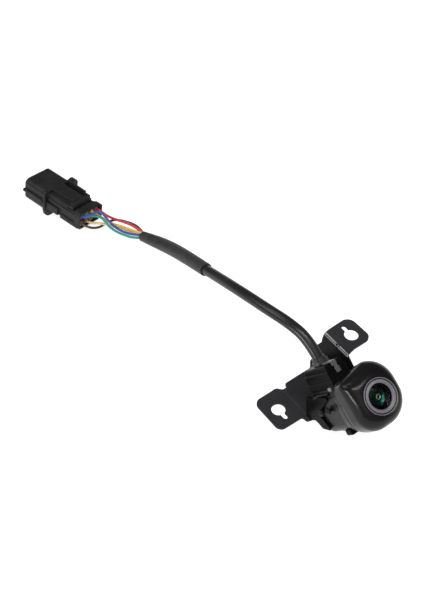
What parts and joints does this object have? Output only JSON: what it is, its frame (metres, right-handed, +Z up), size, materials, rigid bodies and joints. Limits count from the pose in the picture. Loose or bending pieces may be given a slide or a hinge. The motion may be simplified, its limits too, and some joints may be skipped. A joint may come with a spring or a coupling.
{
  "type": "backup camera",
  "caption": "Small reversing camera in a folded steel bracket with two keyhole ears, with a short sleeved harness ending in a sealed multi-way plug.",
  "frame": {"origin": "centre of the left keyhole, on the underside of the left ear", "axes": "+Z up, square to both ears; +X from the left ear to the right ear; the lens looks towards -Y and up"},
  "size_m": [0.079, 0.2487, 0.0469],
  "materials": {
    "cover_plastic": "moulded, satin gloss",
    "case_plastic": "moulded, fine texture",
    "trim_grey": "satin grey",
    "lens_glass": "coated glass",
    "inner_glass": "coated glass",
    "barrel_metal": "black anodised",
    "seal_rubber": "matte rubber",
    "board": "circuit board",
    "chip": "moulded chip",
    "tinned_steel": "tinned",
    "bracket_steel": "black coated steel",
    "screw_steel": "black zinc",
    "cable_jacket": "smooth jacket",
    "sleeve": "heat-shrunk sleeve",
    "blue": "wire insulation",
    "green": "wire insulation",
    "yellow": "wire insulation",
    "red": "wire insulation",
    "white": "wire insulation",
    "brown": "wire insulation",
    "plug_plastic": "moulded, fine texture",
    "seal_silicone": "silicone"
  },
  "bodies": {
    "camera": {"front_cover": "cover_plastic", "lens_trim_ring": "trim_grey", "front_lens": "lens_glass", "lens_o_ring": "seal_rubber", "lens_barrel": "barrel_metal", "inner_lenses": "inner_glass", "ir_filter": "inner_glass", "lens_holder": "case_plastic", "sensor_board": "board", "image_sensor": "chip", "board_spacers": "tinned_steel", "processor_board": "board", "shield_can": "tinned_steel", "board_screws": "tinned_steel", "board_socket": "case_plastic", "case_gasket": "seal_rubber", "rear_case": "case_plastic", "vent_plug": "seal_rubber", "cable_gland": "seal_rubber", "bracket": "bracket_steel", "bracket_screws": "screw_steel", "spring_clip": "tinned_steel", "cable": "cable_jacket", "shrink_sleeve": "sleeve", "wire_blue": "blue", "wire_green": "green", "wire_yellow": "yellow", "wire_red": "red", "wire_white": "white", "wire_brown": "brown", "plug_housing": "plug_plastic", "plug_terminals": "tinned_steel", "wire_seals": "seal_silicone"},
    "lock": {"terminal_lock": "plug_plastic"}
  },
  "joints": [
    {"name": "terminal_lock_slide", "type": "slide", "parent": "camera", "child": "lock", "axis": [0.23, -0.9732, 0], "range_m": [0, 0.0016]}
  ]
}
